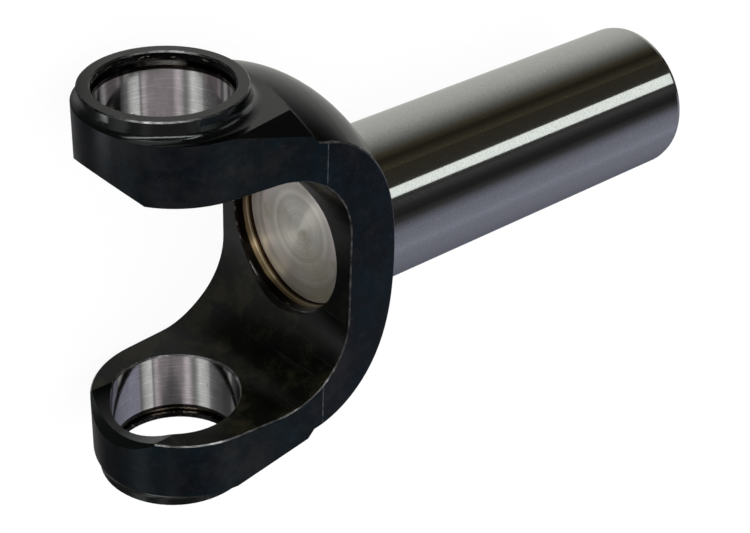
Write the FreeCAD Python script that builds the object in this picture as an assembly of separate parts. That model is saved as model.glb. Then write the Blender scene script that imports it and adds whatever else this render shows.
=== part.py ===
import FreeCAD, Part
import math
import os

V = FreeCAD.Vector

# Frame: X runs along the barrel, away from the joint. Y is the axis of the two cross bores.
# Z is up as the yoke lies on its flat side. The origin is the centre of the joint. Millimetres.
X = V(1, 0, 0)
Y = V(0, 1, 0)
Z = V(0, 0, 1)
O = V(0, 0, 0)
seam_turn = 37.0        # degrees, so that no seam of a turned solid falls on a plane of symmetry
over = 70.0             # reach of the cutting blocks, past every side of the yoke

# Ears and cross bores
bore_r = 15.08          # 30.16 mm bearing caps
boss_r = 18.05
boss_y = 49.25          # outer face of the boss ring
ledge_y = 44.8          # flat round the boss
boss_fillet = 2.5
ear_r = 22.1
ear_x = 3.2
inner_y = 30.5          # inner flats of the ears
groove_y0 = 46.0        # snap ring groove, 92 mm from flank to flank across the gap
groove_y1 = 47.65
groove_r = 16.2
bore_break = 0.35

# Base between the ears
side_z = 23.9           # half width of the base
wall_x = 24.8           # where the spreading ear wall meets the base side
base_x = 32.1           # floor of the gap
gap_fillet = 19.6

# Turned shape behind the ears
shoulder_top = (13.4, 53.6)
shoulder_foot = (22.35, 44.62)
dome_x = 19.6
dome_r0 = 18.35
dome_arc = 26.4136
dome_end = 6.0          # degrees left of the dome arc where the barrel stands on it
edge_break = 0.3
side_break = 0.3        # chamfer along the side outline and the edges of the gap

# Bevel between the ledge and the ear wall: a plane through the start of the straight wall,
# a point on the ledge (x, z) and a point down the wall (x, y)
bevel_on_ledge = (18.85, 18.7)
bevel_on_wall = (20.0, 39.95)

# Reliefs at the ear tips
relief_r = 33.0
tip_bevel = 16.05        # the 45 degree bevel lies where x + y equals this

# Barrel
barrel_r = 19.09        # 38.18 mm journal
barrel_x1 = 151.5
lead_length = 1.0       # shallow lead chamfer at the open end
lead_depth = 0.25

# Plug and its recess
recess_r = 18.65
recess_x = 41.0         # shoulder that the plug seats on
recess_chamfer = 0.45
plug_x0 = 36.9          # outer face of the plug
plug_chamfer = 0.35

# Bore of the barrel: run-out, internal spline, open mouth
run_out_r = 15.3
run_out_x1 = 54.4
mouth_r = 15.3
mouth_x0 = 139.8
lead_in = 1.7           # cones between the spline and the plain bores
mouth_chamfer = 0.8
teeth = 27
spline_minor = 13.55
spline_major = 14.85
gap_at_minor = 0.60     # tooth space as a share of the pitch
gap_at_major = 0.38


def turned(edges, axis):
    """Solid of revolution from a closed list of edges, its seam turned away from the planes of symmetry."""
    solid = Part.Face(Part.Wire(edges)).revolve(O, axis, 360)
    solid.rotate(O, axis, seam_turn)
    return solid


def line(a, b):
    return Part.makeLine(V(a[0], a[1], 0), V(b[0], b[1], 0))


def arcs(centre, radius, start, end, count):
    """Arc of a circle from one angle to another, as a few shorter arcs end to end."""
    def at(share):
        a = start + (end - start) * share
        return V(centre[0] + radius * math.cos(a), centre[1] + radius * math.sin(a), 0)

    return [
        Part.Arc(at(i / count), at((i + 0.5) / count), at((i + 1) / count)).toShape()
        for i in range(count)
    ]


def closed(points):
    """Straight edges round a list of profile points."""
    return [line(points[i], points[(i + 1) % len(points)]) for i in range(len(points))]


def outline_face(y0):
    """Plan of the ears and the base: round front, walls that spread to the base sides."""
    r = ear_r
    w = side_z
    dx = wall_x - ear_x
    far = math.hypot(dx, w)
    turn = math.atan2(w, dx) + math.acos(r / far)
    tx = ear_x + r * math.cos(turn)
    tz = r * math.sin(turn)
    p_front = V(ear_x - r, y0, 0)
    a = V(tx, y0, tz)
    b = V(wall_x, y0, w)
    c = V(over, y0, w)
    d = V(over, y0, -w)
    e = V(wall_x, y0, -w)
    f = V(tx, y0, -tz)
    edges = [
        Part.makeLine(a, b),
        Part.makeLine(b, c),
        Part.makeLine(c, d),
        Part.makeLine(d, e),
        Part.makeLine(e, f),
        Part.Arc(f, p_front, a).toShape(),
    ]
    return Part.Face(Part.Wire(edges)), tx, tz


def envelope():
    """Turned outside: shoulder behind the ears, then the dome that runs down to the barrel."""
    start = math.asin((shoulder_foot[1] - dome_r0) / dome_arc)
    end = math.radians(dome_end)
    foot = (dome_x + dome_arc * math.cos(start), dome_r0 + dome_arc * math.sin(start))
    tail = (dome_x + dome_arc * math.cos(end), dome_r0 + dome_arc * math.sin(end))
    return turned([
        line((-over, 0), (-over, shoulder_top[1])),
        line((-over, shoulder_top[1]), shoulder_top),
        line(shoulder_top, foot),
        *arcs((dome_x, dome_r0), dome_arc, start, end, 4),
        line(tail, (tail[0], 0)),
        line((tail[0], 0), (-over, 0)),
    ], X)


def boss_bar():
    """Both boss rings as one turned bar on the bore axis, with the root fillet to the ledge."""
    b = edge_break
    f = boss_fillet
    root_r = boss_r + f
    root_y = ledge_y + f
    up = math.pi / 2
    return turned([
        line((0, -boss_y), (boss_r - b, -boss_y)),
        line((boss_r - b, -boss_y), (boss_r, -boss_y + b)),
        line((boss_r, -boss_y + b), (boss_r, -root_y)),
        *arcs((root_r, -root_y), f, 2 * up, up, 2),
        line((root_r, -ledge_y), (root_r, ledge_y)),
        *arcs((root_r, root_y), f, -up, -2 * up, 2),
        line((boss_r, root_y), (boss_r, boss_y - b)),
        line((boss_r, boss_y - b), (boss_r - b, boss_y)),
        line((boss_r - b, boss_y), (0, boss_y)),
        line((0, boss_y), (0, -boss_y)),
    ], Y)


def yoke_blank():
    """Ears and base in plan, the boss rings, and the turned outside, before the gap is cut."""
    plan, tangent_x, tangent_z = outline_face(-ledge_y)
    tall_plan, _, _ = outline_face(-over)
    boss = boss_bar().common(tall_plan.extrude(V(0, 2 * over, 0)))
    body = plan.extrude(V(0, 2 * ledge_y, 0)).fuse(boss).common(envelope())
    for sy in (1, -1):
        for sz in (1, -1):
            body = body.cut(corner_bevel(tangent_x, tangent_z, sy, sz))
    return body


def corner_bevel(tangent_x, tangent_z, sy, sz):
    """Block that takes off the corner between the ledge and the ear wall, clear of the boss."""
    x, y = bevel_on_wall
    wall_z = tangent_z + (side_z - tangent_z) * (x - tangent_x) / (wall_x - tangent_x)
    start = V(tangent_x, sy * ledge_y, sz * tangent_z)
    on_ledge = V(bevel_on_ledge[0], sy * ledge_y, sz * bevel_on_ledge[1])
    on_wall = V(x, sy * y, sz * wall_z)
    normal = (on_ledge - start).cross(on_wall - start)
    normal.normalize()
    if normal.y * sy < 0:
        normal = normal * -1
    low_y = inner_y if sy > 0 else -inner_y - over
    low_z = 0 if sz > 0 else -over
    quarter = Part.makeBox(over, over, over, V(0, low_y, low_z))
    around_boss = Part.makeCylinder(boss_r + boss_fillet, 2 * over, V(0, -over, 0), Y)
    return half_space_box(start, normal, over).common(quarter).cut(around_boss)


def half_space_box(point, normal, size):
    """Block that fills the side of a plane its normal points to."""
    box = Part.makeBox(2 * size, 2 * size, size, V(-size, -size, 0))
    box.Placement = FreeCAD.Placement(point, FreeCAD.Rotation(Z, normal))
    return box


def gap():
    """Space between the ears: flat inner faces, large fillets, flat floor."""
    r = gap_fillet
    k = r * math.sqrt(0.5)
    cx = base_x - r
    cy = inner_y - r

    def p(x, y):
        return V(x, y, -over)

    edges = [
        Part.makeLine(p(-over, inner_y), p(cx, inner_y)),
        Part.Arc(p(cx, inner_y), p(cx + k, cy + k), p(base_x, cy)).toShape(),
        Part.makeLine(p(base_x, cy), p(base_x, -cy)),
        Part.Arc(p(base_x, -cy), p(cx + k, -cy - k), p(cx, -inner_y)).toShape(),
        Part.makeLine(p(cx, -inner_y), p(-over, -inner_y)),
        Part.makeLine(p(-over, -inner_y), p(-over, inner_y)),
    ]
    return Part.Face(Part.Wire(edges)).extrude(V(0, 0, 2 * over))


def tip_cut():
    """45 degree bevel across both ear tips, drawn as a wedge that widens towards the front."""
    half = tip_bevel + over
    points = [V(tip_bevel, 0, -over), V(-over, half, -over), V(-over, -half, -over)]
    wire = Part.makePolygon(points + [points[0]])
    return Part.Face(wire).extrude(V(0, 0, 2 * over))


def on_plan_wall(plan, point):
    """True where a point lies on the upright walls of the plan."""
    return plan.OuterWire.distToShape(Part.Vertex(V(point.x, 0, point.z)))[0] < 1e-3


def on_gap_wall(point):
    """True where a point lies on the surface of the gap between the ears."""
    cx = base_x - gap_fillet
    cy = inner_y - gap_fillet
    if point.x <= cx:
        off = abs(point.y) - inner_y
    elif abs(point.y) <= cy:
        off = point.x - base_x
    else:
        off = math.hypot(point.x - cx, abs(point.y) - cy) - gap_fillet
    return abs(off) < 1e-3


def on_dome(point):
    """True where a point lies on the dome."""
    r = math.hypot(point.y, point.z)
    off = math.hypot(point.x - dome_x, r - dome_r0) - dome_arc
    return point.x > shoulder_foot[0] - 1e-3 and abs(off) < 2e-3


def side_edges(body):
    """Edges where the gap and the dome run out through the upright walls."""
    plan, _, _ = outline_face(0)
    found = []
    for edge in body.Edges:
        points = edge.discretize(7)
        if all(on_plan_wall(plan, p) for p in points):
            if all(on_gap_wall(p) for p in points) or all(on_dome(p) for p in points):
                found.append(edge)
    return found


def cross_bore():
    """Bore through both ears with its edge breaks and the two snap ring grooves."""
    b = bore_break
    profile = [
        (0, -boss_y - 1), (bore_r + b + 1, -boss_y - 1), (bore_r, -boss_y + b),
        (bore_r, -groove_y1), (groove_r, -groove_y1), (groove_r, -groove_y0), (bore_r, -groove_y0),
        (bore_r, -inner_y - b), (bore_r + b + 1, -inner_y + 1), (bore_r + b + 1, inner_y - 1),
        (bore_r, inner_y + b), (bore_r, groove_y0), (groove_r, groove_y0), (groove_r, groove_y1),
        (bore_r, groove_y1), (bore_r, boss_y - b), (bore_r + b + 1, boss_y + 1), (0, boss_y + 1),
    ]
    return turned(closed(profile), Y)


def spline_cutter():
    """Space of the internal spline: minor bore with straight-sided tooth spaces cut into it."""
    x0 = run_out_x1 - lead_in
    length = mouth_x0 + lead_in - x0
    pitch = 2 * math.pi / teeth
    wide = gap_at_minor * pitch / 2
    narrow = gap_at_major * pitch / 2
    space = [(spline_minor, -wide), (spline_major, -narrow), (spline_major, narrow), (spline_minor, wide)]
    points = []
    for i in range(teeth):
        for r, t in space:
            a = i * pitch + t
            points.append(V(x0, r * math.cos(a), r * math.sin(a)))
    wire = Part.makePolygon(points + [points[0]])
    spaces = Part.Face(wire).extrude(V(length, 0, 0))
    core = Part.makeCylinder(spline_minor, length, V(x0, 0, 0), X)
    return spaces.fuse(core).removeSplitter()


def barrel_bore():
    """Plug recess, run-out bore, and the open mouth of the barrel, all turned on X."""
    c = recess_chamfer
    m = mouth_chamfer
    front = base_x - gap_fillet
    back = barrel_x1 + 1
    recess = turned(closed([
        (front, 0), (front, recess_r + c), (base_x, recess_r + c), (base_x + c, recess_r),
        (recess_x, recess_r), (recess_x, run_out_r), (run_out_x1, run_out_r),
        (run_out_x1 + lead_in, spline_minor), (run_out_x1 + lead_in, 0),
    ]), X)
    mouth = turned(closed([
        (mouth_x0 - lead_in, 0), (mouth_x0 - lead_in, spline_minor), (mouth_x0, mouth_r),
        (barrel_x1 - m, mouth_r), (barrel_x1, mouth_r + m), (back, mouth_r + m), (back, 0),
    ]), X)
    return recess.fuse(mouth)


def barrel():
    """Ground journal with its lead chamfer."""
    root = dome_x + dome_arc / 2
    return turned(closed([
        (root, 0), (root, barrel_r), (barrel_x1 - lead_length, barrel_r),
        (barrel_x1, barrel_r - lead_depth), (barrel_x1, 0),
    ]), X)


def yoke_forging():
    """Ears, base and barrel in one piece, with all that is machined into it."""
    tip_relief = Part.makeCylinder(relief_r, over, V(-over, 0, 0), X)
    yoke = yoke_blank().cut(gap()).cut(tip_cut()).cut(tip_relief).removeSplitter()
    yoke = yoke.makeChamfer(side_break, side_edges(yoke))
    yoke = yoke.fuse(barrel())
    yoke = yoke.cut(cross_bore()).cut(barrel_bore()).cut(spline_cutter())
    return yoke.removeSplitter()


def end_plug():
    """Turned disc pressed into the recess, with a small chamfer round its outer face."""
    c = plug_chamfer
    return turned(closed([
        (plug_x0, 0), (plug_x0, recess_r - c), (plug_x0 + c, recess_r), (recess_x, recess_r), (recess_x, 0),
    ]), X)


os.makedirs("parts", exist_ok=True)
for name, shape in (("yoke_forging", yoke_forging()), ("end_plug", end_plug())):
    print(name, "solids", len(shape.Solids), "valid", shape.isValid(), "cm3", round(shape.Volume / 1000, 2))
    shape.Solids[0].exportStep("parts/" + name + ".step")
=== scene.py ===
import math

import bpy
from mathutils import Matrix, Vector

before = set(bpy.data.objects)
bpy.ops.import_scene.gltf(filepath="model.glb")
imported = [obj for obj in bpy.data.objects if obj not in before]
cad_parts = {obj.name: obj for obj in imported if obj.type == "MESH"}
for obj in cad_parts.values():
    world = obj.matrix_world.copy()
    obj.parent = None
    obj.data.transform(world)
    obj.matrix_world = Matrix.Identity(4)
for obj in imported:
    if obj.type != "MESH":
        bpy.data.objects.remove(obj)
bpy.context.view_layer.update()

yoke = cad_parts["yoke_forging"]
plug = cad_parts["end_plug"]

# The frame is the CAD's, in metres: X along the barrel, Y along the cross bores, Z up as the yoke lies.
mm = 0.001
white = (1.0, 1.0, 1.0)
black = (0.0, 0.0, 0.0)

# Sizes of the model in millimetres, for finding its surfaces
bore_r = 15.08
boss_y = 49.25          # outer faces of the boss rings
ledge_y = 44.8          # flats round the boss rings
inner_y = 30.5          # flat inner faces of the ears
groove_y0 = 46.0        # snap ring grooves
groove_y1 = 47.65
groove_r = 16.2
gap_floor_x = 32.1
gap_fillet = 19.6
side_z = 23.9
wall_corner_x = 24.8    # upright corner where an ear's wall meets the base
ear_wall_end_x = 30.0   # the milled walls of the ears end before it
recess_r = 18.65
recess_end_x = 41.0
barrel_r = 19.09
barrel_start_x = 45.0
barrel_end_x = 151.5
lead_length = 1.0       # tapered end of the barrel
dome_edge_x = 22.0      # start of the dome's chamfered sides
side_reach = 0.35       # past the chamfers of the sides
chamfer_reach = 0.4     # past the chamfers of the gap, the boss rings and the bores
recess_reach = 0.5      # past the chamfer of the recess
hole_margin = 1.0       # round the bores and the recess, where no edge of the gap is worn
near = 0.1              # how far a face's centre may lie off its surface
floor_z = -side_z * mm

# Camera at the photograph's viewing angle
camera_place = Vector((-0.18008, 0.20626, 0.26352))
view_azimuth = 3.97088
view_height = 0.56429
view_roll = 0.03957
lens = 81.55
sensor_width = 36.0


def stand(thing, place, right, up, back):
    """Puts a camera or lamp at a place; back points away from what it faces."""
    turn = Matrix((right, up, back)).transposed()
    thing.matrix_world = Matrix.Translation(place) @ turn.to_4x4()


def make_camera():
    """Camera turned by an azimuth round Y, a height over the plane of X and Z, and a small roll."""
    data = bpy.data.cameras.new("photo_camera")
    data.lens = lens
    data.sensor_width = sensor_width
    camera = bpy.data.objects.new("photo_camera", data)
    bpy.context.scene.collection.objects.link(camera)
    flat = math.cos(view_height)
    back = Vector((flat * math.cos(view_azimuth), math.sin(view_height), -flat * math.sin(view_azimuth)))
    level = Vector((0, 1, 0)).cross(back).normalized()
    rise = back.cross(level)
    right = level * math.cos(view_roll) + rise * math.sin(view_roll)
    up = rise * math.cos(view_roll) - level * math.sin(view_roll)
    stand(camera, camera_place, right, up, back)
    bpy.context.scene.camera = camera


class Graph:
    """A material's node tree, with short calls for the nodes used here."""

    def __init__(self, name):
        self.material = bpy.data.materials.new(name)
        self.material.use_nodes = True
        self.nodes = self.material.node_tree.nodes
        self.links = self.material.node_tree.links
        self.shader = self.nodes["Principled BSDF"]
        self.place = self.add("ShaderNodeTexCoord").outputs["Object"]

    def add(self, kind, **settings):
        node = self.nodes.new(kind)
        for key, value in settings.items():
            setattr(node, key, value)
        return node

    def put(self, socket, value):
        """Sets a socket to a plain value, or links an output to it."""
        if isinstance(value, bpy.types.NodeSocket):
            self.links.new(value, socket)
        else:
            socket.default_value = value

    def math(self, operation, a, b=0.0, c=0.0):
        node = self.add("ShaderNodeMath", operation=operation)
        for socket, value in zip(node.inputs, (a, b, c)):
            self.put(socket, value)
        return node.outputs[0]

    def axis(self, name):
        """The place on the object along X, Y or Z."""
        node = self.add("ShaderNodeSeparateXYZ")
        self.put(node.inputs[0], self.place)
        return node.outputs[name]

    def vector(self, x, y, z):
        node = self.add("ShaderNodeCombineXYZ")
        for socket, value in zip(node.inputs, (x, y, z)):
            self.put(socket, value)
        return node.outputs[0]

    def scaled(self, x, y, z):
        """The place on the object with each axis stretched."""
        node = self.add("ShaderNodeVectorMath", operation="MULTIPLY")
        self.put(node.inputs[0], self.place)
        node.inputs[1].default_value = (x, y, z)
        return node.outputs[0]

    def radius(self, a, b):
        return self.math("SQRT", self.math("ADD", self.math("MULTIPLY", a, a), self.math("MULTIPLY", b, b)))

    def noise(self, vector, scale, detail=3.0, rough=0.5):
        node = self.add("ShaderNodeTexNoise")
        self.put(node.inputs["Vector"], vector)
        node.inputs["Scale"].default_value = scale
        node.inputs["Detail"].default_value = detail
        node.inputs["Roughness"].default_value = rough
        return node.outputs["Fac"]

    def ramp(self, factor, stops):
        """Colours by a factor, from stops of position and colour."""
        node = self.add("ShaderNodeValToRGB")
        self.put(node.inputs[0], factor)
        band = node.color_ramp
        while len(band.elements) < len(stops):
            band.elements.new(0.5)
        for element, (position, colour) in zip(band.elements, stops):
            element.position = position
            element.color = (*colour, 1.0)
        return node.outputs["Color"]

    def blend(self, factor, a, b):
        """Colour that goes from a to b as the factor goes from 0 to 1."""
        node = self.add("ShaderNodeMix", data_type="RGBA")
        self.put(node.inputs[0], factor)
        for socket, value in ((node.inputs[6], a), (node.inputs[7], b)):
            self.put(socket, value if isinstance(value, bpy.types.NodeSocket) else (*value, 1.0))
        return node.outputs[2]

    def step(self, value, start, end):
        """Rises smoothly from 0 to 1 as a value goes from start to end."""
        node = self.add("ShaderNodeMapRange", interpolation_type="SMOOTHSTEP")
        self.put(node.inputs["Value"], value)
        node.inputs["From Min"].default_value = start
        node.inputs["From Max"].default_value = end
        return node.outputs[0]

    def line(self, value, at, half_width):
        """1 along a thin line where a value equals at, and 0 away from it."""
        off = self.math("ABSOLUTE", self.math("SUBTRACT", value, at))
        return self.math("SUBTRACT", 1.0, self.step(off, half_width * 0.5, half_width))

    def spread(self, value, low, high):
        """Maps a 0 to 1 value to the range from low to high."""
        return self.math("MULTIPLY_ADD", value, high - low, low)

    def bump(self, height, distance, under=None):
        node = self.add("ShaderNodeBump")
        self.put(node.inputs["Height"], height)
        node.inputs["Distance"].default_value = distance
        if under is not None:
            self.put(node.inputs["Normal"], under)
        return node.outputs["Normal"]

    def finish(self, colour, roughness, normal=None, metallic=1.0, sheen=0.5, tint=white):
        """Fills the shader; sheen and tint are for the gloss of finishes that aren't bare metal."""
        flat = not isinstance(colour, bpy.types.NodeSocket)
        self.put(self.shader.inputs["Base Color"], (*colour, 1.0) if flat else colour)
        self.put(self.shader.inputs["Roughness"], roughness)
        self.shader.inputs["Metallic"].default_value = metallic
        self.shader.inputs["Specular IOR Level"].default_value = sheen
        self.shader.inputs["Specular Tint"].default_value = (*tint, 1.0)
        if normal is not None:
            self.put(self.shader.inputs["Normal"], normal)
        return self.material


def oxide_milled():
    """Oiled black oxide on the milled walls: cloudy blue and brown, with a painted highlight line along the
    upright corner.
    """
    g = Graph("oxide_milled")
    cloud = g.noise(g.place, 60, 6, 0.68)
    colour = g.ramp(cloud, [
        (0.38, (0.0004, 0.0044, 0.0078)), (0.50, (0.0014, 0.0020, 0.0034)), (0.62, (0.0080, 0.0070, 0.0080)),
    ])
    # painted highlight: a light line along the upright corner, broken up by noise
    corner = g.line(g.axis("X"), wall_corner_x * mm, 0.17 * mm)
    line_breakup = g.step(g.noise(g.scaled(0.2, 1, 0.2), 900, 3, 0.6), 0.30, 0.62)
    colour = g.blend(g.math("MULTIPLY", corner, line_breakup), colour, (0.075, 0.078, 0.080))
    scratch = g.step(g.noise(g.scaled(0.25, 1, 0.6), 1100, 3, 0.55), 0.74, 0.78)
    colour = g.blend(g.math("MULTIPLY", scratch, 0.55), colour, (0.035, 0.036, 0.037))
    mottle = g.step(g.noise(g.place, 520, 5, 0.75), 0.46, 0.66)
    colour = g.blend(g.math("MULTIPLY", mottle, 0.5), colour, (0.0105, 0.0110, 0.0125))
    lines = g.noise(g.scaled(0.03, 1, 0.03), 2600, 2, 0.5)
    grain = g.noise(g.place, 1900, 2, 0.6)
    normal = g.bump(grain, 0.006 * mm, g.bump(lines, 0.0020 * mm))
    rough = g.spread(g.noise(g.place, 210, 4, 0.65), 0.18, 0.42)
    return g.finish(colour, rough, normal, metallic=0.0, sheen=0.13, tint=(0.70, 0.90, 1.0))


def oxide_turned():
    """Black oxide on turned surfaces: smoother, so it takes more of the light."""
    g = Graph("oxide_turned")
    x = g.axis("X")
    y = g.axis("Y")
    z = g.axis("Z")
    cloud = g.noise(g.place, 60, 4, 0.6)
    colour = g.ramp(cloud, [(0.35, (0.0006, 0.0012, 0.0014)), (0.62, (0.0022, 0.0026, 0.0026))])
    rings = g.noise(g.vector(g.radius(x, z), g.radius(y, z), 0.0), 1500, 3, 0.6)
    grain = g.noise(g.place, 2200, 2, 0.6)
    normal = g.bump(grain, 0.0012 * mm, g.bump(rings, 0.0012 * mm))
    rough = g.spread(g.noise(g.place, 260, 4, 0.65), 0.10, 0.22)
    return g.finish(colour, rough, normal, metallic=0.0, sheen=0.28, tint=(0.95, 1.0, 1.0))


def oxide_gap():
    """Black oxide in the gap: near black, with green and brown clouds and the marks of the cutter."""
    g = Graph("oxide_gap")
    cloud = g.noise(g.place, 75, 5, 0.62)
    colour = g.ramp(cloud, [
        (0.42, (0.0002, 0.0003, 0.0003)), (0.53, (0.0030, 0.0040, 0.0018)), (0.64, (0.0190, 0.0172, 0.0090)),
    ])
    lines = g.noise(g.scaled(1.0, 1.0, 0.04), 1300, 2, 0.5)
    colour = g.blend(g.math("MULTIPLY", g.step(lines, 0.60, 0.72), 0.6), colour, (0.012, 0.012, 0.0105))
    grain = g.noise(g.place, 1700, 2, 0.6)
    normal = g.bump(grain, 0.003 * mm, g.bump(lines, 0.007 * mm))
    rough = g.spread(g.noise(g.place, 190, 4, 0.65), 0.15, 0.34)
    return g.finish(colour, rough, normal, metallic=0.0, sheen=0.10)


def worn_and_highlit_edge():
    """Edges where the oxide has rubbed off in places, painted brighter in part to stand for the highlights
    that the small chamfers catch.
    """
    g = Graph("worn_and_highlit_edge")
    wear_and_highlight = g.noise(g.place, 380, 4, 0.65)
    # colour of the edge chamfers: partly rubbed-off oxide, partly painted highlight
    colour = g.ramp(wear_and_highlight, [
        (0.36, (0.03, 0.03, 0.031)), (0.52, (0.09, 0.09, 0.09)), (0.68, (0.20, 0.20, 0.195)),
    ])
    grain = g.noise(g.place, 2600, 2, 0.6)
    return g.finish(colour, g.spread(wear_and_highlight, 0.42, 0.24), g.bump(grain, 0.003 * mm))


def ground_steel():
    """Ground journal: fine grain and faint lines round the barrel."""
    g = Graph("ground_steel")
    lines = g.noise(g.scaled(1, 0.02, 0.02), 5200, 2, 0.6)
    grain = g.noise(g.place, 2300, 3, 0.75)
    colour = g.ramp(grain, [(0.30, (0.33, 0.33, 0.325)), (0.70, (0.47, 0.47, 0.462))])
    rough = g.spread(g.noise(g.place, 900, 3, 0.7), 0.045, 0.10)
    return g.finish(colour, rough, g.bump(lines, 0.0003 * mm))


def bore_steel():
    """Honed bore: fine lines round it, darkened to black next to the snap ring groove."""
    dark_start = (groove_y0 - 0.85) * mm
    dark_end = (groove_y0 - 0.60) * mm
    g = Graph("bore_steel")
    lines = g.noise(g.scaled(0.04, 1, 0.04), 2300, 3, 0.7)
    blotch = g.noise(g.scaled(1, 0.35, 1), 420, 4, 0.6)
    colour = g.ramp(blotch, [(0.32, (0.36, 0.345, 0.35)), (0.66, (0.46, 0.445, 0.45))])
    streak = g.step(g.noise(g.scaled(0.08, 1, 0.08), 1900, 4, 0.7), 0.50, 0.66)
    colour = g.blend(g.math("MULTIPLY", streak, 0.38), colour, (0.66, 0.65, 0.655))
    speck = g.step(g.noise(g.scaled(0.5, 1, 0.5), 1700, 2, 0.5), 0.72, 0.77)
    colour = g.blend(speck, colour, (0.10, 0.095, 0.095))
    outward = g.math("ABSOLUTE", g.axis("Y"))
    wander = g.math("MULTIPLY_ADD", g.noise(g.place, 120, 3, 0.6), 0.5 * mm, outward)
    # darker next to the snap ring groove
    colour = g.blend(g.step(wander, dark_start, dark_end), colour, (0.014, 0.012, 0.010))
    return g.finish(colour, g.spread(lines, 0.05, 0.15), g.bump(lines, 0.0040 * mm))


def lip_oxide():
    """Short lip outside the snap ring groove: black and wet with oil, with a few bright flecks, partly nicks
    and partly painted glints.
    """
    g = Graph("lip_oxide")
    # bright flecks: partly nicks, partly painted glints
    nick_glint = g.step(g.noise(g.scaled(1, 2, 1), 650, 3, 0.6), 0.60, 0.68)
    colour = g.blend(nick_glint, (0.0008, 0.0009, 0.0009), (0.14, 0.13, 0.11))
    normal = g.bump(g.noise(g.scaled(1, 3, 1), 700, 3, 0.6), 0.05 * mm)
    return g.finish(colour, 0.12, normal, metallic=0.0, sheen=0.10)


def groove_steel():
    """Snap ring groove: a painted bronze highlight line on the -Y ear, painted shade that keeps the +Y ear
    dark.
    """
    shine_y = 46.75 * mm
    shine_half_width = 0.75 * mm
    between_ears = 10 * mm
    g = Graph("groove_steel")
    y = g.axis("Y")
    stain = g.noise(g.scaled(1, 2.5, 1), 150, 4, 0.6)
    # painted shade: the +Y ear's groove kept dark, with a few lighter spots
    painted_shade = g.ramp(stain, [(0.45, (0.008, 0.0075, 0.007)), (0.70, (0.12, 0.115, 0.11))])
    # painted bronze highlight: a line along the middle of the groove on the -Y ear, broken up by noise
    middle = g.line(g.math("ABSOLUTE", y), shine_y, shine_half_width)
    shine = g.math("MULTIPLY", middle, g.step(g.noise(g.scaled(1, 0.2, 1), 90, 3, 0.5), 0.34, 0.54))
    straw = g.ramp(shine, [
        (0.10, (0.012, 0.009, 0.007)), (0.50, (0.16, 0.11, 0.06)), (0.95, (0.62, 0.54, 0.42)),
    ])
    colour = g.blend(g.step(y, -between_ears, between_ears), straw, painted_shade)
    lines = g.noise(g.scaled(0.05, 1, 0.05), 3000)
    return g.finish(colour, g.spread(stain, 0.10, 0.24), g.bump(lines, 0.002 * mm))


def recess_steel():
    """Wall of the plug recess: black at the mouth, a light brownish-yellow band further in that is mostly a
    painted reflection, a painted highlight line, and a dark joint at the plug.
    """
    black_start = 34.5 * mm
    black_end = 35.0 * mm
    highlight_line_x = 35.55 * mm
    joint_start = 36.0 * mm
    joint_end = 36.25 * mm
    mouth_x = (gap_floor_x + 0.12) * mm
    g = Graph("recess_steel")
    x = g.axis("X")
    wander = g.math("MULTIPLY_ADD", g.noise(g.place, 130, 3, 0.5), 0.8 * mm, x)
    # mostly painted reflection: the straw coloured band of the wall
    straw = g.blend(g.noise(g.place, 300, 4, 0.6), (0.22, 0.155, 0.075), (0.44, 0.36, 0.22))
    colour = g.blend(g.step(wander, black_start, black_end), (0.008, 0.0065, 0.005), straw)
    # painted highlight: a bright line round the wall
    colour = g.blend(g.line(x, highlight_line_x, 0.22 * mm), colour, (0.72, 0.66, 0.50))
    colour = g.blend(g.step(x, joint_start, joint_end), colour, (0.05, 0.028, 0.012))
    # painted highlight: a light line along the mouth, broken up by noise
    mouth = g.line(x, mouth_x, 0.16 * mm)
    mouth = g.math("MULTIPLY", mouth, g.step(g.noise(g.place, 160, 3, 0.6), 0.50, 0.60))
    colour = g.blend(mouth, colour, (0.10, 0.10, 0.10))
    scuff = g.step(g.noise(g.scaled(1, 0.25, 0.25), 900, 3, 0.6), 0.66, 0.74)
    colour = g.blend(scuff, colour, (0.42, 0.40, 0.36))
    lines = g.noise(g.scaled(1, 0.04, 0.04), 2400, 3, 0.6)
    return g.finish(colour, g.spread(lines, 0.16, 0.30), g.bump(lines, 0.003 * mm))


def socket_steel():
    """Broached spline and plain bore inside the barrel."""
    g = Graph("socket_steel")
    lines = g.noise(g.scaled(0.04, 1, 1), 2600, 3, 0.6)
    colour = g.ramp(g.noise(g.place, 240, 4, 0.6), [(0.34, (0.22, 0.215, 0.21)), (0.66, (0.36, 0.35, 0.34))])
    return g.finish(colour, g.spread(lines, 0.20, 0.34), g.bump(lines, 0.003 * mm))


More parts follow.
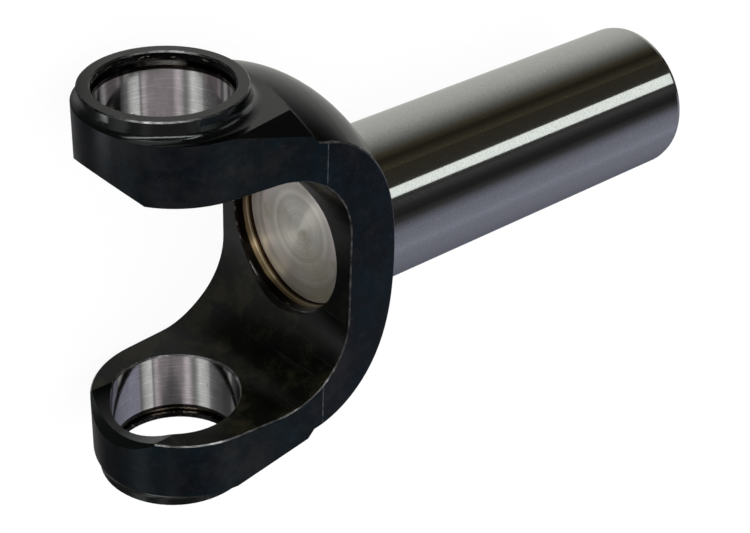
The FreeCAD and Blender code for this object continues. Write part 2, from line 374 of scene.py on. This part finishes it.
def plug_steel():
    """Turned face of the plug: rings round the middle, tarnish, painted shade that darkens it towards -Y, a
    bright ring at the rim.
    """
    dark_start = 4 * mm
    dark_end = -10 * mm
    g = Graph("plug_steel")
    y = g.axis("Y")
    radius = g.radius(y, g.axis("Z"))
    fine = g.noise(g.vector(radius, 0.0, 0.0), 2600, 3, 0.6)
    broad = g.noise(g.vector(radius, 0.0, 0.0), 380, 3, 0.6)
    tarnish = g.noise(g.scaled(0.3, 1, 1), 70, 4, 0.6)
    colour = g.ramp(g.math("DIVIDE", radius, recess_r * mm), [
        (0.00, (0.50, 0.49, 0.44)), (0.28, (0.52, 0.50, 0.45)), (0.45, (0.42, 0.40, 0.36)),
        (0.50, (0.60, 0.57, 0.53)), (0.56, (0.42, 0.40, 0.37)), (0.66, (0.56, 0.50, 0.49)),
        (0.74, (0.62, 0.54, 0.53)), (0.80, (0.42, 0.38, 0.36)), (0.86, (0.58, 0.53, 0.50)),
        (0.95, (0.48, 0.43, 0.40)), (0.99, (0.78, 0.74, 0.70)),
    ])
    colour = g.blend(g.step(tarnish, 0.48, 0.70), colour, (0.36, 0.34, 0.24))
    # painted shade: darker towards -Y, its edge wandering with the tarnish
    painted_shade = g.step(g.math("MULTIPLY_ADD", tarnish, 10 * mm, y), dark_start, dark_end)
    colour = g.blend(g.math("MULTIPLY", painted_shade, 0.65), colour, (0.17, 0.155, 0.105))
    turning = g.math("MULTIPLY", g.step(fine, 0.46, 0.66), 0.28)
    colour = g.blend(turning, colour, (0.68, 0.66, 0.62))
    colour = g.blend(g.math("MULTIPLY", g.step(broad, 0.54, 0.66), 0.30), colour, (0.30, 0.28, 0.25))
    normal = g.bump(fine, 0.004 * mm, g.bump(broad, 0.010 * mm))
    tangent = g.add("ShaderNodeTangent", direction_type="RADIAL", axis="X")
    g.put(g.shader.inputs["Tangent"], tangent.outputs[0])
    g.shader.inputs["Anisotropic"].default_value = 0.90
    g.shader.inputs["Anisotropic Rotation"].default_value = 0.25
    return g.finish(colour, g.spread(fine, 0.33, 0.43), normal, metallic=0.62)


def gap_side(c):
    """How far a point is from the gap's surface, and the direction that surface faces there."""
    cx = gap_floor_x - gap_fillet
    cy = inner_y - gap_fillet
    side = math.copysign(1.0, c.y)
    if c.x <= cx:
        return abs(abs(c.y) - inner_y), Vector((0, -side, 0))
    if abs(c.y) <= cy:
        return abs(c.x - gap_floor_x), Vector((-1, 0, 0))
    out = Vector((c.x - cx, side * (abs(c.y) - cy), 0))
    return abs(out.length - gap_fillet), -out.normalized()


def slanted(value):
    """True for a part of a normal that leans about 45 degrees."""
    return 0.5 < abs(value) < 0.92


def is_worn_and_highlit_edge(c, n, from_x, from_y):
    """True on the small chamfers along the gap, the dome, the boss rings and the bores."""
    off, facing = gap_side(c)
    clear_of_holes = from_y > bore_r + hole_margin and from_x > recess_r + hole_margin
    gap_edge = off < chamfer_reach and slanted(n.dot(facing)) and clear_of_holes
    dome_edge = abs(c.z) > side_z - side_reach and slanted(n.z) and c.x > dome_edge_x
    ring_edge = abs(c.y) > boss_y - chamfer_reach and slanted(n.y)
    at_mouth = abs(c.y) < inner_y + chamfer_reach and bore_r < from_y < bore_r + chamfer_reach
    bore_edge = at_mouth and slanted(n.y)
    return gap_edge or dome_edge or ring_edge or bore_edge


def finish_of(c, n):
    """The finish of a face, from its centre in millimetres and its normal."""
    from_x = math.hypot(c.y, c.z)
    from_y = math.hypot(c.x, c.z)
    inward = n.y * c.y + n.z * c.z < 0
    seat = abs(n.x) > 0.9 and c.x < barrel_end_x - lead_length
    at_bore = from_y < bore_r + chamfer_reach
    if c.x > recess_end_x - near / 2 and from_x < recess_r and (inward or seat):
        return "socket"
    if is_worn_and_highlit_edge(c, n, from_x, from_y):
        return "edge"
    if gap_floor_x - 2 * near < c.x < recess_end_x + near and from_x < recess_r + recess_reach and inward:
        return "recess"
    if c.x > barrel_start_x and from_x < barrel_r + near / 2:
        return "ground"
    if at_bore and abs(c.y) > groove_y1 - near / 2:
        return "lip"
    if at_bore and abs(c.y) > inner_y - near and abs(n.y) < 0.8:
        return "bore"
    if from_y < groove_r + near and groove_y0 - near < abs(c.y) < groove_y1 + near:
        return "groove"
    if gap_side(c)[0] < 2 * near and abs(n.z) < 0.3:
        return "gap"
    upright = abs(n.y) < 0.15 and abs(c.y) < ledge_y + near
    on_side = abs(n.z) > 0.98
    return "milled" if on_side or upright and c.x < ear_wall_end_x else "turned"


def dress_yoke():
    """Gives each machined surface of the forging its own finish, by where it lies and how it faces."""
    finishes = {
        "milled": oxide_milled(), "turned": oxide_turned(), "gap": oxide_gap(), "edge": worn_and_highlit_edge(),
        "ground": ground_steel(), "bore": bore_steel(), "groove": groove_steel(), "lip": lip_oxide(),
        "recess": recess_steel(), "socket": socket_steel(),
    }
    index = {name: i for i, name in enumerate(finishes)}
    mesh = yoke.data
    mesh.materials.clear()
    for material in finishes.values():
        mesh.materials.append(material)
    for face in mesh.polygons:
        face.material_index = index[finish_of(face.center / mm, face.normal)]


def dress_plug():
    """Gives the plug its turned steel."""
    plug.data.materials.clear()
    plug.data.materials.append(plug_steel())


def add_mesh(name, points, faces, material):
    """A staged mesh, such as the floor or a card."""
    mesh = bpy.data.meshes.new(name)
    mesh.from_pydata(points, [], faces)
    mesh.materials.append(material)
    thing = bpy.data.objects.new(name, mesh)
    bpy.context.scene.collection.objects.link(thing)
    return thing


def rectangle(corner_a, corner_b, corner_c, corner_d):
    """Points and faces of a flat card."""
    return [corner_a, corner_b, corner_c, corner_d], [(0, 1, 2, 3)]


def make_floor():
    """Pale floor: mostly seen white by its own strength, with a faint soft shadow."""
    reach = 3.0
    own_light = 0.93
    paint = (0.10, 0.10, 0.10)
    g = Graph("pale_floor")
    path = g.add("ShaderNodeLightPath").outputs
    seen = g.math("ADD", path["Is Camera Ray"], path["Is Glossy Ray"])
    seen = g.math("ADD", seen, path["Is Transmission Ray"])
    g.shader.inputs["Emission Color"].default_value = (*white, 1.0)
    g.put(g.shader.inputs["Emission Strength"], g.math("MULTIPLY", seen, own_light))
    g.finish(paint, 1.0, metallic=0.0, sheen=0.0)
    g.material.cycles.emission_sampling = "NONE"
    points, faces = rectangle(
        (-reach, -reach, floor_z), (reach, -reach, floor_z), (reach, reach, floor_z), (-reach, reach, floor_z),
    )
    floor = add_mesh("floor", points, faces, g.material)
    floor.visible_glossy = False


def trough(radius, start, end, low, high, at):
    """Points and faces of a curved card between two angles; at places a point from its angle and its run."""
    count = 120
    points = []
    for i in range(count + 1):
        a = math.radians(start + (end - start) * i / count)
        points += [at(radius * math.cos(a), radius * math.sin(a), run) for run in (low, high)]
    faces = [(2 * i, 2 * i + 1, 2 * i + 3, 2 * i + 2) for i in range(count)]
    return points, faces


def tinted(tint, levels):
    """Stops of one tint, from pairs of an angle in degrees and a brightness."""
    return [(angle, tuple(level * t for t in tint)) for angle, level in levels]


def graded_material(name, first, last, axes, stops):
    """Shows its stops by the angle from the first axis to the second, in degrees from first to last."""
    g = Graph(name)
    turn = g.math("ARCTAN2", g.axis(axes[1]), g.axis(axes[0]))
    degrees = g.math("MULTIPLY", turn, 180 / math.pi)
    degrees = g.math("ADD", g.math("FLOORED_MODULO", g.math("SUBTRACT", degrees, first), 360.0), first)
    share = g.math("DIVIDE", g.math("SUBTRACT", degrees, first), last - first)
    colour = g.ramp(share, [((a - first) / (last - first), c) for a, c in stops])
    g.put(g.shader.inputs["Emission Color"], colour)
    g.shader.inputs["Emission Strength"].default_value = 1.0
    g.material.cycles.emission_sampling = "NONE"
    return g.finish(black, 1.0, metallic=0.0, sheen=0.0)


def add_card(name, points, faces, material):
    """Card that shows only where something reflects it."""
    card = add_mesh(name, points, faces, material)
    card.visible_camera = False
    card.visible_diffuse = False
    card.visible_shadow = False


def add_plain_card(name, points, faces, strength):
    """Card of one brightness."""
    g = Graph(name)
    g.shader.inputs["Emission Color"].default_value = (*white, 1.0)
    g.shader.inputs["Emission Strength"].default_value = strength
    g.material.cycles.emission_sampling = "NONE"
    add_card(name, points, faces, g.finish(black, 1.0, metallic=0.0, sheen=0.0))


def make_barrel_cards():
    """Graded cards along the barrel, on the side away from the joint; angles run from +Y towards +Z."""
    first = -125.0
    last = 235.0
    pale = (1.0, 1.0, 0.95)
    warm = (1.0, 0.90, 0.58)
    cool = (0.96, 0.99, 1.22)
    stops = tinted(pale, [
        (-125, 0.55), (-103, 0.60), (-79, 0.71), (-67, 0.74), (-55, 0.72),
        (-44, 0.65), (-34, 0.51), (-24, 0.35), (-14, 0.175),
    ])
    stops += tinted(warm, [(-5, 0.085), (5, 0.026), (11, 0.040), (16, 0.085), (24, 0.050)])
    stops += tinted(white, [(66, 0.060), (69, 0.088), (80, 0.036), (88, 0.026), (97, 0.070)])
    stops += tinted(cool, [
        (106, 0.22), (114, 0.32), (130, 0.365), (140, 0.42), (152, 0.34),
        (170, 0.29), (191, 0.21), (203, 0.16), (235, 0.15),
    ])
    points, faces = trough(radius=1.0, start=first, end=last, low=0.02, high=4.0, at=lambda y, z, x: (x, y, z))
    add_card("barrel_cards", points, faces, graded_material("barrel_cards", first, last, "YZ", stops))


def make_front_cards():
    """Upright cards round the joint, whose bright strips show in the bores; angles run from +X towards +Z."""
    first = 46.0
    last = 296.0
    lower_first = 57.0
    radius = 0.2
    bottom_y = -0.6
    split_y = -0.12
    top_y = 0.09
    rose = (1.05, 0.97, 1.0)
    lamp = (0.97, 1.02, 0.98)
    stops = tinted(white, [(46, 0.06), (52, 0.12), (61, 0.28)])
    stops += tinted(lamp, [(65, 0.62), (74, 0.92), (82, 1.02)])
    stops += tinted(white, [(84, 0.26), (86, 0.30)])
    stops += tinted(rose, [(88, 0.66), (92, 0.68), (98, 0.38), (139, 0.37), (146, 0.76), (151, 0.82)])
    stops += tinted(white, [(154, 0.32), (167, 0.22)])
    stops += tinted(lamp, [(171, 0.50), (173, 1.08), (184, 0.92), (191, 0.66)])
    stops += tinted(white, [
        (194, 0.30), (202, 0.18), (218, 0.125), (232, 0.075), (245, 0.080), (256, 0.20), (296, 0.24),
    ])
    material = graded_material("front_cards", first, last, "XZ", stops)
    for name, start, low, high in (
        ("upper_front_card", first, split_y, top_y), ("lower_front_card", lower_first, bottom_y, split_y),
    ):
        points, faces = trough(radius, start, last, low, high, lambda x, z, y: (x, y, z))
        add_card(name, points, faces, material)


def make_dark_room():
    """Dark wall above the front cards."""
    points, faces = trough(radius=0.8, start=50.0, end=300.0, low=0.2, high=1.6, at=lambda x, z, y: (x, y, z))
    add_plain_card("dark_room", points, faces, strength=0.07)


def make_pale_card():
    """Pale card under the gap, for the plug's upper part."""
    x0 = -0.045
    x1 = 0.030
    y0 = -0.043
    y1 = -0.002
    z = -0.040
    points, faces = rectangle((x0, y0, z), (x1, y0, z), (x1, y1, z), (x0, y1, z))
    add_plain_card("pale_card", points, faces, strength=0.74)


def make_plug_lamp():
    """Small lamp in front of the gap, which lights the bow-tie on the plug's turned face."""
    x = -0.16
    y0 = -0.036
    y1 = -0.004
    z0 = -0.106
    z1 = -0.060
    points, faces = rectangle((x, y0, z1), (x, y1, z1), (x, y1, z0), (x, y0, z0))
    add_plain_card("plug_lamp", points, faces, strength=8.5)


def make_dark_flag():
    """Dark flag below the lower bore, which narrows upwards in steps."""
    distance = 0.19
    turn = math.radians(119.0)
    half_widths = (0.095, 0.080, 0.030, 0.008)
    heights = (-0.25, -0.207, -0.189, -0.181)
    points = []
    for half_width, y in zip(half_widths, heights):
        for across in (-half_width, half_width):
            x = distance * math.cos(turn) - across * math.sin(turn)
            z = distance * math.sin(turn) + across * math.cos(turn)
            points.append((x, y, z))
    add_plain_card("dark_flag", points, [(0, 1, 3, 2), (2, 3, 5, 4), (4, 5, 7, 6)], strength=0.13)


def make_slot_light():
    """Bright rims of the tent's slot, round the camera; they show in the fillets and on the edges."""
    reach = 0.72
    half_width = 0.035
    ends = Vector((-0.70, 0.71, -0.06)), Vector((0.18, 0.63, 0.75))
    middles = Vector((-0.56, 0.465, 0.68)), Vector((-0.274, 0.894, 0.341))
    count = 24
    points = []
    faces = []
    for middle in middles:
        knot = (middle * 4 - ends[0] - ends[1]) / 2
        for i in range(count + 1):
            t = i / count
            way = (ends[0] * (1 - t) ** 2 + knot * (2 * t * (1 - t)) + ends[1] * t ** 2).normalized()
            along = ((knot - ends[0]) * (1 - t) + (ends[1] - knot) * t).normalized()
            across = way.cross(along).normalized()
            taper = 1.02 - (2 * t - 1) ** 4
            half = across * half_width * taper
            base = len(points)
            points += [tuple(way * reach - half), tuple(way * reach + half)]
            if i:
                faces.append((base - 2, base - 1, base + 1, base))
    add_plain_card("slot_light", points, faces, strength=17.0)


def make_strip_lamp():
    """The long lamp whose reflection runs along the barrel; it leans in towards the barrel's open end."""
    lean = math.radians(38.0)
    length = 0.33
    width = 0.118
    radiance = 1.75
    centre = Vector((0.495, 0.2625, 0.3655))
    data = bpy.data.lights.new("strip_lamp", "AREA")
    data.shape = "RECTANGLE"
    data.size = length
    data.size_y = width
    data.energy = radiance * math.pi * length * width
    data.color = (0.945, 1.0, 0.965)
    lamp = bpy.data.objects.new("strip_lamp", data)
    bpy.context.scene.collection.objects.link(lamp)
    along = Vector((1, 0, 0))
    outward = Vector((0, centre.y, centre.z)).normalized()
    right = along * math.cos(lean) - outward * math.sin(lean)
    back = outward * math.cos(lean) + along * math.sin(lean)
    stand(lamp, centre, right, back.cross(right), back)


def make_world():
    """Plain white light from all round."""
    world = bpy.data.worlds.new("white_studio")
    bpy.context.scene.world = world
    world.use_nodes = True
    background = world.node_tree.nodes["Background"]
    background.inputs["Color"].default_value = (*white, 1.0)
    background.inputs["Strength"].default_value = 1.0
    world.cycles.sampling_method = "NONE"


bpy.context.scene.view_settings.view_transform = "Standard"
make_camera()
make_world()
make_floor()
make_barrel_cards()
make_front_cards()
make_dark_room()
make_pale_card()
make_plug_lamp()
make_dark_flag()
make_slot_light()
make_strip_lamp()
dress_yoke()
dress_plug()
